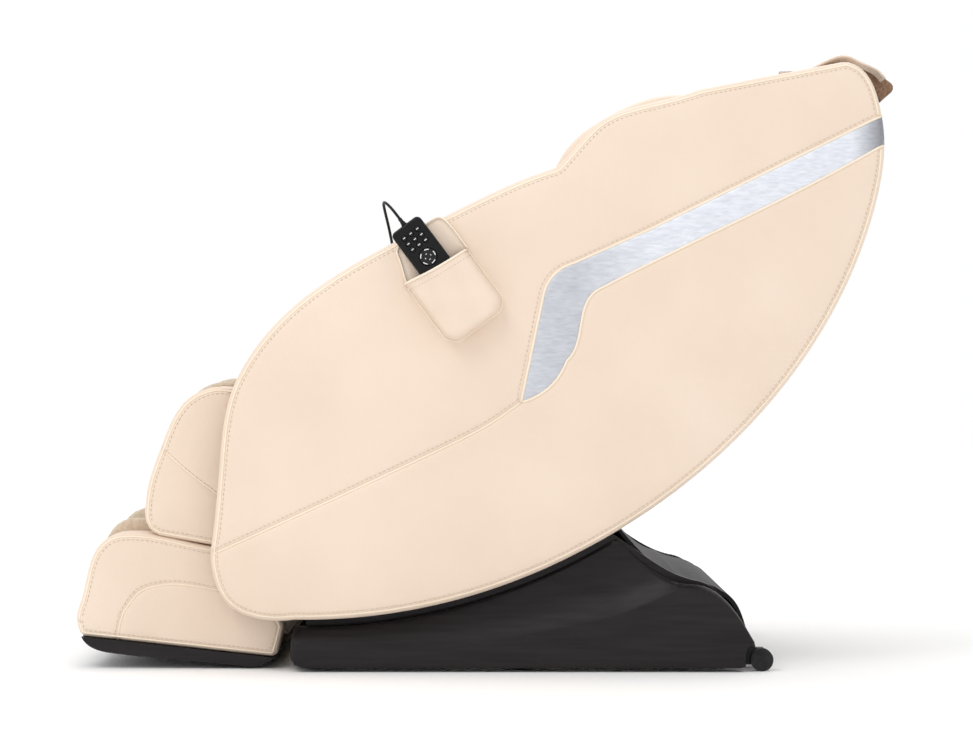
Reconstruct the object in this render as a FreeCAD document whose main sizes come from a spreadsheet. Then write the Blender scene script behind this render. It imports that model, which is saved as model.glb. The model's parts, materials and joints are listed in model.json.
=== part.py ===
import FreeCAD, Part
import math
import os

from FreeCAD import Placement, Rotation, Vector

# Reclining massage chair, millimetres. +Z is up, +X runs from the feet to the head end and -Y is the
# sitter's left. The origin is on the floor under the middle rubber skid. The whole seat is one cradle
# that rolls on arcs about the tilt centre, high above the sitter's knees.

doc = FreeCAD.newDocument("massage_chair")
sheet = doc.addObject("Spreadsheet::Sheet", "Sizes")
SIZES = {
    "tilt_x": -384, "tilt_z": 1130, "panel_radius": 1034, "panel_in": 322, "panel_thick": 56,
    "pad_in": 264, "pad_thick": 56, "cushion_half": 257, "cushion_front": 828, "cushion_thick": 50,
    "frame_in": 226, "frame_thick": 14, "frame_inner": 890, "frame_outer": 984,
    "rail_in": 246, "rail_thick": 16, "rail_outer": 1000, "roller_radius": 18, "roller_gap": 0.5,
    "axle_radius": 6, "running_gap": 0.05, "cover_in": 302, "cover_thick": 43, "cover_top": 1052,
    "fairing_in": 281, "fairing_thick": 19, "fairing_top": 1006, "skid_height": 6, "tube_high": 30,
    "pivot_radius": 1020, "pin_radius": 8, "cylinder_radius": 22, "rod_radius": 10, "eye_radius": 16,
    "knee_x": -495, "knee_z": 462, "shaft_radius": 12, "boss_radius": 14, "leg_in": 205, "leg_thick": 85,
    "divider_half": 40, "knead_radius": 935, "knead_angle": 30, "massage_shaft": 8, "arm_gap": 0.06,
    "massage_roller": 20, "handset_width": 60, "handset_length": 213.5, "handset_thick": 20,
    "key_radius": 4.5, "key_pitch": 14, "key_high": 3.3, "key_stand": 1.5, "ring_radius": 15,
    "wheel_radius": 20, "wheel_width": 16, "cord_radius": 2.5, "strip_thick": 1.5, "flap_half": 150,
}
for row, (alias, value) in enumerate(SIZES.items(), start=1):
    sheet.set("A%d" % row, alias)
    sheet.set("B%d" % row, str(value))
    sheet.setAlias("B%d" % row, alias)
doc.recompute()

PARTS = {}


def num(alias):
    """A driving size, read from the sheet."""
    return float(sheet.get(alias))


def named(obj, name):
    """Gives a finished sub-part its node name."""
    obj.Label = name
    PARTS[name] = obj
    return obj


def bind(obj, **sizes):
    """Ties properties to cells: a word is a cell or a formula of cells."""
    for prop, text in sizes.items():
        words = text
        for alias in sorted(SIZES, key=len, reverse=True):
            words = words.replace("{%s}" % alias, "Sizes.%s" % alias)
        obj.setExpression(prop, words)


TILT = (num("tilt_x"), num("tilt_z"))
KNEE = (num("knee_x"), num("knee_z"))


def polar(radius, angle, centre=TILT):
    """Point (x, z) at an angle below the horizontal, seen from a centre."""
    turn = math.radians(angle)
    return (centre[0] + radius * math.cos(turn), centre[1] - radius * math.sin(turn))


def flat(point):
    return Vector(point[0], point[1], 0)


def curve(points):
    spline = Part.BSplineCurve()
    spline.interpolate([flat(p) for p in points])
    return spline


def outline(start, steps):
    """Closed outline: each step is a point (line), (via, end) (arc) or a list of points (curve)."""
    edges = []
    here = start
    for step in steps:
        if isinstance(step, list):
            edges.append(curve([here] + step))
            here = step[-1]
        elif isinstance(step[0], tuple):
            edges.append(Part.Arc(flat(here), flat(step[0]), flat(step[1])))
            here = step[1]
        else:
            edges.append(Part.LineSegment(flat(here), flat(step)))
            here = step
    if math.dist(here, start) > 1e-6:
        edges.append(Part.LineSegment(flat(here), flat(start)))
    return edges


def band(inner, outer, first, last):
    """Outline between two radii about the tilt centre, from one angle to another."""
    middle = (first + last) / 2
    return outline(polar(inner, first), [
        (polar(inner, middle), polar(inner, last)),
        polar(outer, last),
        (polar(outer, middle), polar(outer, first)),
    ])


def bar(start, end, radius):
    """Outline of a straight link with round ends."""
    dx = end[0] - start[0]
    dz = end[1] - start[1]
    span = math.hypot(dx, dz)
    along = (dx / span * radius, dz / span * radius)
    side = (-along[1], along[0])
    return outline((start[0] + side[0], start[1] + side[1]), [
        (end[0] + side[0], end[1] + side[1]),
        ((end[0] + along[0], end[1] + along[1]), (end[0] - side[0], end[1] - side[1])),
        (start[0] - side[0], start[1] - side[1]),
        ((start[0] - along[0], start[1] - along[1]), (start[0] + side[0], start[1] + side[1])),
    ])


def plate(name, edges, y_high, length):
    """Body with one side-view sketch padded from y_high towards -Y."""
    body = doc.addObject("PartDesign::Body", name)
    plane = [f for f in body.Origin.OriginFeatures if f.Role == "XZ_Plane"][0]
    sketch = body.newObject("Sketcher::SketchObject", name + "_outline")
    sketch.AttachmentSupport = (plane, [""])
    sketch.MapMode = "FlatFace"
    for edge in edges:
        sketch.addGeometry(edge, False)
    pad = body.newObject("PartDesign::Pad", name + "_pad")
    pad.Profile = sketch
    bind(pad, Length=length)
    bind(body, **{".Placement.Base.y": y_high})
    return body


def twins(name, edges, y_in, thick):
    """The same plate on the left (-Y) and on the right (+Y)."""
    left = plate(name + "_left", edges, "-" + y_in, thick)
    right = plate(name + "_right", edges, "%s + %s" % (y_in, thick), thick)
    return left, right


def rod(name, centre, y_low, length, radius):
    """Cylinder along +Y."""
    pin = doc.addObject("Part::Cylinder", name)
    pin.Placement = Placement(Vector(centre[0], y_low, centre[1]), Rotation(Vector(1, 0, 0), -90))
    bind(pin, Radius=radius)
    pin.Height = length
    return pin


def box(name, low, high):
    """Plain block between two corners."""
    block = doc.addObject("Part::Box", name)
    block.Length = high[0] - low[0]
    block.Width = high[1] - low[1]
    block.Height = high[2] - low[2]
    block.Placement.Base = Vector(*low)
    return block


def joined(name, shapes):
    fuse = doc.addObject("Part::MultiFuse", name)
    fuse.Shapes = shapes
    return fuse


def grouped(name, shapes):
    """Identical separate solids that share one node."""
    group = doc.addObject("Part::Compound", name)
    group.Links = shapes
    return group


def cut(name, base, tool):
    piece = doc.addObject("Part::Cut", name)
    piece.Base = base
    piece.Tool = tool
    return piece


# ---- base -------------------------------------------------------------------------------------
FRONT_ROLLER = polar(num("rail_outer") + num("roller_gap") + num("roller_radius"), 86)
REAR_ROLLER = polar(num("rail_outer") + num("roller_gap") + num("roller_radius"), 66)
BASE_PIVOT = polar(num("pivot_radius"), 60)
SEAT_PIVOT = polar(num("pivot_radius"), 90)
WHEEL = (419, num("wheel_radius"))
AXLE_SPAN = 656


def holes(name, centres, radius, half_width):
    """Cross drillings right through the chair at several centres."""
    return joined(name, [rod("%s_%d" % (name, i), c, -half_width, 2 * half_width, radius)
                         for i, c in enumerate(centres)])


def base_frame():
    low = num("skid_height")
    high = low + num("tube_high")
    parts = [box("sill_%d" % side, (-385, side * 225 - 15, low), (395, side * 225 + 15, high))
             for side in (-1, 1)]
    parts += [box("cross_%d" % i, (x, -279, low), (x + 40, 279, high))
              for i, x in enumerate((-385, -20, 355))]
    for side in (-1, 1):
        y_high = "%d" % (side * 233 + 7)
        for i, centre in enumerate((FRONT_ROLLER, REAR_ROLLER)):
            post = plate("roller_post_%d_%d" % (side, i), bar((centre[0], 25), centre, 12), y_high, "14")
            parts.append(post)
        stand = plate("pivot_post_%d" % side, bar((BASE_PIVOT[0] - 116, 25), BASE_PIVOT, 14),
                      "%d" % (side * 29 + 4), "8")
        parts.append(stand)
    bracket = [box("axle_lug_%d" % side, (380, side * 270 - 8, low), (WHEEL[0] + 8, side * 270 + 8, high))
               for side in (-1, 1)]
    parts += bracket
    parts.append(rod("base_pin", BASE_PIVOT, -33, 66, "{pin_radius}"))
    bores = holes("roller_bores", (FRONT_ROLLER, REAR_ROLLER), "{axle_radius} + {running_gap}", 260)
    axle_bore = rod("wheel_bore", WHEEL, -300, 600, "{axle_radius} + {running_gap}")
    named(cut("base_frame_solid", joined("base_tubes", parts), joined("base_bores", [bores, axle_bore])),
          "base_frame")


def cradle_roller(name, centre):
    """A rail roller on each side, each on its own stub axle."""
    solids = []
    for side in (-1, 1):
        low = 225 if side > 0 else -264
        stub = rod("%s_stub_%d" % (name, side), centre, low, 39, "{axle_radius}")
        tyre = rod("%s_tyre_%d" % (name, side), centre, side * 254 - 9, 18, "{roller_radius}")
        solids.append(joined("%s_side_%d" % (name, side), [stub, tyre]))
    named(grouped(name + "_pair", solids), name)


def base_covers():
    top = num("cover_top")
    shape = outline((-385, 7), [
        ((-403, 14), (-409, 32)), (-405, 77.5), (polar(top, 75), polar(top, 58.6)),
        [(182, 214), (228, 175), (290, 152)], [(345, 134), (381, 92), (405, 52)],
        (408, 42), (390, 42), (390, 7),
    ])
    for piece, name in zip(twins("cover", shape, "{cover_in}", "{cover_thick}"),
                           ("base_cover_left", "base_cover_right")):
        named(piece, name)


def base_fairing():
    """Inner fairing: two side walls and the front wall between them."""
    top = num("fairing_top")
    shape = outline((-384, 38), [
        (-384, 124), (polar(top, 75), polar(top, 60)),
        [(190, 218), (250, 178), (300, 158)], [(345, 136), (368, 100), (376, 60)], (376, 38),
    ])
    left, right = twins("fairing", shape, "{fairing_in}", "{fairing_thick}")
    front = box("front_wall", (-405, -301, 7), (-398, 301, 75))
    left_web = box("front_web_left", (-399, -301, 40), (-380, -282, 75))
    right_web = box("front_web_right", (-399, 282, 40), (-380, 301, 75))
    named(joined("base_fairing_solid", [left, right, front, left_web, right_web]), "base_fairing")


def rear_cover():
    hump = outline((172, 247), [
        [(200, 216), (232, 186), (272, 167)], [(300, 156), (328, 149), (352, 137)],
        [(374, 121), (392, 84), (402, 50)], (402, 40), (396, 40),
        [(387, 80), (369, 116), (348, 131)], [(326, 143), (298, 150), (269, 161)],
        [(228, 180), (196, 210), (168, 243)],
    ])
    window = box("inlet_window", (370, 59, 39), (410, 141, 75))
    named(cut("rear_cover_solid", plate("rear_cover_body", hump, "279", "558"), window), "rear_cover")


def base_fittings():
    skids = [box("skid_%d" % i, (x, -270, 0), (x + 40, 270, num("skid_height")))
             for i, x in enumerate((-385, -20, 355))]
    named(grouped("skid_group", skids), "rubber_skids")
    wheels = [rod("wheel_%d" % side, WHEEL, side * 320 - 8, num("wheel_width"), "{wheel_radius}")
              for side in (-1, 1)]
    axle = rod("wheel_axle", WHEEL, -AXLE_SPAN / 2, AXLE_SPAN, "{axle_radius}")
    named(joined("wheel_set", wheels + [axle]), "transport_wheels")
    floor = num("skid_height") + num("tube_high") + 0.5
    named(box("controller", (-330, -200, floor), (-150, -50, 84)), "control_box")
    named(box("pump", (-330, 50, floor), (-170, 200, 80)), "air_pump")
    socket = box("inlet_body", (384, 60, 40), (394, 110, 74))
    recess = box("inlet_recess", (389, 66, 46), (400, 104, 68))
    rocker_seat = box("rocker_seat", (384, 112, 40), (394, 140, 74))
    rocker_well = box("rocker_well", (386, 118, 46), (400, 134, 68))
    link = box("inlet_link", (384, 109, 40), (394, 113, 74))
    blocks = joined("inlet_blocks", [socket, rocker_seat, link])
    named(cut("inlet_solid", blocks, joined("inlet_cuts", [recess, rocker_well])), "power_inlet")
    named(box("rocker", (388, 119, 48), (397, 133, 66)), "power_switch")


def recline_ram():
    """Cylinder on the base pin and its rod, whose eye runs round the pin under the seat."""
    span = math.dist(BASE_PIVOT, SEAT_PIVOT)
    slope = math.degrees(math.atan2(SEAT_PIVOT[1] - BASE_PIVOT[1], SEAT_PIVOT[0] - BASE_PIVOT[0]))
    turn = Rotation(Vector(0, -1, 0), slope)
    spot = Placement(Vector(BASE_PIVOT[0], 0, BASE_PIVOT[1]), turn)

    def along(name, start, length, radius):
        tube = doc.addObject("Part::Cylinder", name)
        tube.Height = length
        bind(tube, Radius=radius)
        tube.Placement = spot.multiply(Placement(Vector(start, 0, 0), Rotation(Vector(0, 1, 0), 90)))
        return tube

    barrel = along("ram_barrel", 16, span - 52, "{cylinder_radius}")
    base_eye = rod("ram_eye", BASE_PIVOT, -20, 40, "{eye_radius} + 2")
    pin_hole = rod("ram_pin_hole", BASE_PIVOT, -30, 60, "{pin_radius} + {running_gap}")
    rod_hole = along("ram_bore", 36, span, "{rod_radius} + 0.3")
    tube = cut("ram_tube", joined("ram_outer", [barrel, base_eye]), joined("ram_holes", [pin_hole, rod_hole]))
    named(tube, "recline_cylinder")
    stem = along("ram_stem", 44, span - 54, "{rod_radius}")
    eye = rod("rod_eye", SEAT_PIVOT, -9, 18, "{eye_radius}")
    eye_hole = rod("rod_eye_hole", SEAT_PIVOT, -12, 24, "{pin_radius} + 4")
    named(cut("ram_rod", joined("rod_outer", [stem, eye]), eye_hole), "recline_rod")


# ---- seat -------------------------------------------------------------------------------------
def seat_frame():
    """Two curved side plates with cross tubes, knee arms, massage tracks and the ram lugs."""
    parts = []
    for side in (-1, 1):
        y_high = "%s{frame_in}%s" % ("-" if side < 0 else "", "" if side < 0 else " + {frame_thick}")
        parts.append(plate("seat_side_%d" % side, band(num("frame_inner"), num("frame_outer"), 7.5, 90),
                           y_high, "{frame_thick}"))
        parts.append(plate("knee_arm_%d" % side, bar(KNEE, polar(930, 91), num("boss_radius")),
                           y_high, "{frame_thick}"))
        parts.append(plate("massage_track_%d" % side, band(925, 945, 6, 54),
                           "-207" if side < 0 else "227", "20"))
        parts.append(plate("ram_lug_%d" % side, bar(polar(885, 90), SEAT_PIVOT, 14),
                           "%d" % (side * 16 + 4), "8"))
    parts += [rod("cross_tube_%d" % i, polar(radius, angle), -230, 460, "10")
              for i, (radius, angle) in enumerate(((974, 9), (974, 37), (889, 67.2), (878, 90)))]
    parts.append(rod("seat_pin", SEAT_PIVOT, -20, 40, "{pin_radius}"))
    bore = rod("knee_bore", KNEE, -250, 500, "{shaft_radius} + {running_gap}")
    named(cut("seat_frame_solid", joined("seat_weldment", parts), bore), "seat_frame")


def cradle_rails():
    rails = twins("rail", band(985, num("rail_outer"), 42, 90), "{rail_in}", "{rail_thick}")
    webs = [plate("rail_web_%d" % side, band(974, 984, 44, 88), "-241" if side < 0 else "262", "21")
            for side in (-1, 1)]
    left = joined("rail_l", [rails[0], webs[0]])
    right = joined("rail_r", [rails[1], webs[1]])
    named(grouped("rail_pair", [left, right]), "cradle_rails")


def side_panels():
    """Leaf-shaped padded panels; the lower edge is an arc about the tilt centre."""
    radius = num("panel_radius")
    shape = outline((-492, 525), [
        [(-388, 648), (-249, 737), (-110, 808), (28, 870), (59, 880)],
        [(93, 918), (133, 959), (204, 988), (306, 1016)],
        (560, 1065), [(590, 1052), (606, 1030), (620, 985)],
        [(627, 917), (612, 820), (534, 626), (343, 386), polar(radius, 62)],
        (polar(radius, 76), polar(radius, 91)),
        [(-474, 100), (-512, 119), (-538, 165), (-544, 213)],
        [(-535, 286), (-528, 369), (-508, 490), (-492, 525)],
    ])
    for piece, name in zip(twins("leaf", shape, "{panel_in}", "{panel_thick}"),
                           ("side_panel_left", "side_panel_right")):
        named(piece, name)


def trim_strips():
    """Foil strip that runs down from the head end and turns along the back."""
    shape = outline((-5, 473), [
        (35, 664), [(48, 690), (89, 716)], (216, 772.5), (610, 966), (618, 917),
        [(440, 822), (265, 737), (135, 672)], [(112, 652), (98, 600), (75, 546)], [(45, 500), (-5, 473)],
    ])
    front = "-{panel_in} - {panel_thick}"
    left = plate("strip_left", shape, front, "{strip_thick}")
    right = plate("strip_right", shape, "{panel_in} + {panel_thick} + {strip_thick}", "{strip_thick}")
    named(grouped("strip_pair", [left, right]), "trim_strips")


def inner_pads():
    arm = outline((-425, 560), [
        [(-388, 618), (-249, 705), (-110, 776), (28, 840)], (60, 720), (-40, 430), (-300, 335), (-425, 345),
    ])
    for piece, name in zip(twins("arm", arm, "{pad_in}", "{pad_thick}"), ("arm_pad_left", "arm_pad_right")):
        named(piece, name)
    wing = outline((50, 868), [
        [(64, 900), (100, 944), (142, 973), (224, 1010), (300, 1014)], (320, 900), (90, 745),
    ])
    named(grouped("wing_pair", list(twins("wing", wing, "{pad_in}", "{pad_thick}"))), "shoulder_wings")


def cushions():
    front = num("cushion_front")
    behind = front + num("cushion_thick")
    named(plate("back_pad", band(front, behind, 7, 66), "{cushion_half}", "2*{cushion_half}"), "back_cushion")
    seat = outline((-60, 370), [
        [(-120, 336), (-190, 334), (-300, 350), (-392, 372)], [(-406, 362), (-406, 310)],
        (-386, 292), (-110, 294), (-60, 314),
    ])
    named(plate("seat_pad", seat, "{cushion_half}", "2*{cushion_half}"), "seat_cushion")
    named(plate("shell", band(990, 998, 6.5, 39), "320", "640"), "rear_shell")


def head_end():
    crown = outline((446, 1050), [
        [(474, 1085), (530, 1100), (594, 1102)], (612, 1090), (604, 1060), (586, 1040), (450, 1036),
    ])
    named(plate("crown_pad", crown, "262", "524"), "crown_cushion")
    flap = outline((600, 1098), [(649, 1075), (680, 1052), (680, 1039), (656, 1018), (640, 1050), (613, 1068),
                                 (617, 1090)])
    named(plate("flap_sheet", flap, "{flap_half}", "2*{flap_half}"), "back_flap")
    rest = num("cushion_front") - 1
    pillow = outline(polar(rest, 5), [
        (polar(rest, 9.5), polar(rest, 14)),
        [polar(rest - 24, 14.4), polar(rest - 38, 12.5), polar(rest - 40, 9),
         polar(rest - 26, 5.6), polar(rest, 5)],
    ])
    named(plate("pillow_pad", pillow, "150", "300"), "head_pillow")


HANDSET_TOP = Vector(-207, 0, 780)
HANDSET_TURN = Rotation(Vector(0, 1, 0), -math.degrees(math.atan2(0.6, 0.8)))
HANDSET_SPOT = Placement(HANDSET_TOP, HANDSET_TURN)
PANEL_FACE = -(num("panel_in") + num("panel_thick"))
SHELL_BACK = PANEL_FACE - 6
SHELL_FRONT = SHELL_BACK - num("handset_thick")


def on_handset(obj):
    """Moves a piece drawn upright at the origin onto the leaning handset."""
    obj.Placement = HANDSET_SPOT.multiply(obj.Placement)
    return obj


def pocket():
    outer = box("pocket_outer", (-61, PANEL_FACE - 36, -218), (61, PANEL_FACE - 0.3, -90))
    inner = box("pocket_inner", (-57, PANEL_FACE - 33, -214), (57, PANEL_FACE - 3, -80))
    back = box("pocket_back", (-61, PANEL_FACE - 3, -95), (61, PANEL_FACE - 0.3, -60))
    strap = box("pocket_strap", (30, PANEL_FACE - 3, -61), (61, PANEL_FACE - 0.3, -28))
    pouch = cut("pocket_pouch", outer, inner)
    named(on_handset(joined("pocket_solid", [pouch, back, strap])), "handset_pocket")


KEYS = [(column, line) for line in range(3) for column in (-1, 0, 1)]


def handset():
    half = num("handset_width") / 2
    length = num("handset_length")
    front = SHELL_FRONT
    block = box("shell_block", (-half, front, -length), (half, SHELL_BACK, 0))
    relief = doc.addObject("Part::Cone", "strain_relief")
    relief.Radius1 = 5
    relief.Radius2 = 3.2
    relief.Height = 14
    relief.Placement.Base = Vector(0, (front + SHELL_BACK) / 2, -1)
    pitch = num("key_pitch")
    wells = []
    for number, (column, line) in enumerate(KEYS, start=1):
        centre = (column * pitch, -19 - line * (pitch - 2))
        wells.append(rod("key_well_%d" % number, centre, front - 1, 4.6, "{key_radius} + 0.4"))
        key = rod("key_body_%d" % number, centre, front - num("key_stand"), num("key_high"), "{key_radius}")
        named(on_handset(key), "key_%d" % number)
    ring_spot = (0, -69)
    wells.append(rod("ring_well", ring_spot, front - 1, 4.6, "{ring_radius} + 0.4"))
    ring = rod("ring_body", ring_spot, front - num("key_stand"), num("key_high"), "{ring_radius}")
    named(on_handset(ring), "direction_ring")
    shell = cut("shell_solid", joined("shell_outer", [block, relief]), joined("shell_wells", wells))
    named(on_handset(shell), "handset_shell")


# Centre line of the handset's cord, chosen by hand: out of the strain relief, over the arm and
# down inside it in one hanging loop to the gland on the inner face of the arm pad.
CORD_ROUTE = [
    (-215.2, -394, 791), (-229, -392, 809), (-241, -372, 821), (-246, -340, 822), (-244, -304, 808),
    (-238, -272, 780), (-231, -250, 741), (-225, -240, 690), (-219, -238, 630), (-212, -240, 568),
    (-197, -241, 512), (-165, -240, 474), (-122, -239, 466), (-87, -239, 492), (-69, -240, 538),
    (-62, -241, 582), (-60, -247, 606), (-60, -260.5, 618),
]


def cord():
    """Straight runs joined by tangent arcs, swept with a round section."""
    points = [Vector(*p) for p in CORD_ROUTE]
    edges = []
    here = points[0]
    radii = []
    for before, corner, after in zip(points, points[1:], points[2:]):
        come = (corner - before).normalize()
        leave = (after - corner).normalize()
        half_turn = come.getAngle(leave) / 2
        setback = 0.45 * min((corner - before).Length, (after - corner).Length)
        radii.append(setback / math.tan(half_turn))
        start = corner - come * setback
        end = corner + leave * setback
        inward = (leave - come).normalize()
        via = corner + inward * (radii[-1] / math.cos(half_turn) - radii[-1])
        edges.append(Part.LineSegment(here, start).toShape())
        edges.append(Part.Arc(start, via, end).toShape())
        here = end
    edges.append(Part.LineSegment(here, points[-1]).toShape())
    path = Part.Wire(edges)
    circle = Part.Circle(points[0], points[1] - points[0], num("cord_radius"))
    section = Part.Wire([circle.toShape()])
    tube = doc.addObject("Part::Feature", "cord_tube")
    tube.Shape = path.makePipeShell([section], True, False)
    exact = math.pi * num("cord_radius") ** 2 * path.Length
    print("cord: length %.0f mm, volume ratio %.4f" % (path.Length, tube.Shape.Volume / exact))
    print("cord radii:", ["%.0f" % r for r in radii])
    named(tube, "handset_cord")
    gland = rod("gland_body", (-60, 618), -263.6, 3, "9")
    named(gland, "cord_gland")


# ---- massage mechanism ------------------------------------------------------------------------
KNEAD = polar(num("knead_radius"), num("knead_angle"))


def massage():
    reach = 58
    tilt = num("knead_angle")
    cheeks = [plate("cheek_%d" % side, band(912, 961, 26.5, 33.5), "%d" % (side * 192 + 7), "14")
              for side in (-1, 1)]
    bridge = plate("carriage_bridge", band(954, 961, 26.5, 33.5), "190", "380")
    bore = rod("carriage_bore", KNEAD, -210, 420, "{massage_shaft} + {running_gap}")
    named(cut("carriage_solid", joined("carriage_parts", cheeks + [bridge]), bore), "massage_carriage")
    named(rod("knead_shaft", KNEAD, -202, 404, "{massage_shaft}"), "kneading_shaft")
    for side, word in ((-1, "left"), (1, "right")):
        y_mid = side * 82
        axles = []
        arm_parts = [rod(word + "_hub", KNEAD, y_mid - 8, 16, "15")]
        for sign, place in ((-1, "upper"), (1, "lower")):
            turn = math.degrees(reach / 908) * sign
            spot = polar(908, tilt + turn)
            arm_parts.append(plate("%s_%s_link" % (word, place), bar(KNEAD, spot, 9),
                                   "%d" % (y_mid + 5), "10"))
            axles.append(rod("%s_%s_hole" % (word, place), spot, y_mid - 20, 40, "5 + {running_gap}"))
            tyre_low = y_mid + (6 if side > 0 else -26)
            tyre = rod("%s_%s_tyre" % (word, place), spot, tyre_low, 20, "{massage_roller}")
            stub = rod("%s_%s_stub" % (word, place), spot, y_mid - 8, 16, "5")
            named(joined("%s_%s_wheel" % (word, place), [tyre, stub]), "massage_roller_%s_%s" % (word, place))
        hub_bore = rod(word + "_hub_bore", KNEAD, y_mid - 20, 40, "{massage_shaft} + {arm_gap}")
        arm = cut(word + "_arm", joined(word + "_arm_parts", arm_parts),
                  joined(word + "_bores", axles + [hub_bore]))
        named(arm, "massage_arm_" + word)


# ---- leg rest ---------------------------------------------------------------------------------
def leg_rest():
    shaft = rod("knee_shaft", KNEE, -243, 486, "{shaft_radius}")
    wall = box("leg_wall", (-508, -219, 235), (-500, 219, 470))
    named(joined("leg_frame_solid", [shaft, wall]), "leg_frame")
    motor = rod("motor_can", (-440, 250), 241, 22, "24")
    gearbox = plate("gearbox", bar(KNEE, (-440, 250), 14), "262", "18")
    hole = rod("gearbox_bore", KNEE, 230, 20, "{shaft_radius} + 0.3")
    named(cut("leg_motor_solid", joined("leg_motor_parts", [motor, gearbox]), hole), "leg_motor")
    calf = outline((-512, 492), [
        [(-549, 495), (-593, 475), (-638, 395), (-662, 325), (-668, 268)], [(-660, 249), (-644, 238)],
        (-551, 222), (-512, 219),
    ])
    for piece, name in zip(twins("calf", calf, "{leg_in}", "{leg_thick}"),
                           ("calf_side_left", "calf_side_right")):
        named(piece, name)
    lining = box("calf_wall", (-522, -204, 238), (-509, 204, 480))
    ridge = outline((-516, 484), [
        [(-549, 482), (-585, 462), (-626, 385), (-650, 300)], (-640, 250), (-516, 240),
    ])
    divider = plate("calf_divider", ridge, "{divider_half}", "2*{divider_half}")
    named(joined("calf_lining_solid", [lining, divider]), "calf_lining")


def foot_rest():
    rear = [(-500, 212), (-427, 75), (-441, 22)]
    foot = outline(rear[0], [
        (-551, 213), [(-634, 231), (-690, 238), (-722, 236)], [(-754, 213), (-776, 149), (-788, 107)],
        [(-791, 85), (-783, 59)], rear[2], rear[1],
    ])
    for piece, name in zip(twins("foot", foot, "{leg_in}", "{leg_thick}"),
                           ("foot_side_left", "foot_side_right")):
        named(piece, name)
    heel = outline((-500, 206), [(-510, 206), (-443, 76), (-453, 33), (-700, 62), (-760, 90), (-766, 70),
                                 (-760, 57), (-442, 23), (-430, 75)])
    floor = plate("foot_bed", heel, "204", "408")
    middle = outline((-505, 200), [
        (-551, 205), [(-634, 222), (-690, 226), (-718, 222)], [(-748, 195), (-770, 130), (-772, 80)],
        (-760, 60),
        (-446, 25), (-440, 75),
    ])
    divider = plate("foot_divider", middle, "{divider_half}", "2*{divider_half}")
    slides = [box("slide_bar_%d" % side, (-498.5, side * 175 - 6, 190), (-488.5, side * 175 + 6, 438))
              for side in (-1, 1)]
    named(joined("foot_lining_solid", [floor, divider] + slides), "foot_lining")
    sole = outline((-783, 56.5), [[(-775, 45), (-751, 32), (-700, 24)], (-506, 6), [(-460, 8), (-441, 19)]])
    named(plate("sole", sole, "290", "580"), "sole_plate")


base_frame()
cradle_roller("cradle_rollers_front", FRONT_ROLLER)
cradle_roller("cradle_rollers_rear", REAR_ROLLER)
base_covers()
base_fairing()
rear_cover()
base_fittings()
recline_ram()
seat_frame()
cradle_rails()
side_panels()
trim_strips()
inner_pads()
cushions()
head_end()
pocket()
handset()
cord()
massage()
leg_rest()
foot_rest()
doc.recompute()

failed = [o.Name for o in doc.Objects if set(o.State) & {"Invalid", "Error"}]
failed += [name for name, obj in PARTS.items() if obj.Shape.isNull() or not obj.Shape.isValid()]
if failed:
    raise SystemExit("failed: " + ", ".join(failed))
os.makedirs("parts", exist_ok=True)
for name, obj in PARTS.items():
    obj.Shape.exportStep("parts/%s.step" % name)
print(len(PARTS), "nodes")
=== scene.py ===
import json
import math

import bmesh
import bpy
import numpy as np
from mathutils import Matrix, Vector, noise
from mathutils.geometry import delaunay_2d_cdt


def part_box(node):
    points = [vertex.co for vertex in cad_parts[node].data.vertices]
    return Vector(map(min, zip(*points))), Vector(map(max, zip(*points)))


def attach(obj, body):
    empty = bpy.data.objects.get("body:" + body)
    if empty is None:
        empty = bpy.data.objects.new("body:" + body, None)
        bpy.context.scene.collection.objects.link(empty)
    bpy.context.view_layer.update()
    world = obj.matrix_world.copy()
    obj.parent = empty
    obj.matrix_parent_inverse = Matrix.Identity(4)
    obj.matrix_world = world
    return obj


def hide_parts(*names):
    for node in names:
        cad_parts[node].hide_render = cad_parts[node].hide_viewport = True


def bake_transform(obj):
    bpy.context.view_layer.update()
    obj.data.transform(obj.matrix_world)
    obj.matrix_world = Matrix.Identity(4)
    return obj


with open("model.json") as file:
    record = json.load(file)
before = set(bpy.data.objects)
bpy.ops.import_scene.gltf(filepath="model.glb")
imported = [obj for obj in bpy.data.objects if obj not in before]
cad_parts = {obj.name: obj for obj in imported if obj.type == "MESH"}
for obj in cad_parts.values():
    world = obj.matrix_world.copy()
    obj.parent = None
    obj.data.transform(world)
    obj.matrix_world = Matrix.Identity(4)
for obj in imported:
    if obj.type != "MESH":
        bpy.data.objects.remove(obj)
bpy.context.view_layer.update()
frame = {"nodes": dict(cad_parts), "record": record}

# Massage chair, metres. +Z up, +X towards the head end, -Y the sitter's left.
NODES = frame["nodes"]
CAMERA_PLACE = (-0.065, -4.58, 0.539)
CAMERA_LENS = 89.6
# How far leather stands past the CAD outlines, and how much of the crown cushion's CAD height is drawn.
PANEL_GROWTH = 0.003
PAD_GROWTH = {"leg": 0.004, "foot": 0.0025}
CROWN_SHARE = 0.42
# The spacing of points along outlines and seams, and how far threads and welts stand off the leather.
LINE_STEP = 0.006
THREAD_LIFT = 0.0004
WELT_LIFT = 0.0005


# ---- camera and the handset's cord --------------------------------------------------------------
def camera():
    cam = bpy.data.objects.new("camera", bpy.data.cameras.new("camera"))
    bpy.context.scene.collection.objects.link(cam)
    cam.location = CAMERA_PLACE
    cam.rotation_euler = (math.radians(90), 0, 0)
    cam.data.sensor_width = 36
    cam.data.lens = CAMERA_LENS
    bpy.context.scene.camera = cam


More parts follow.
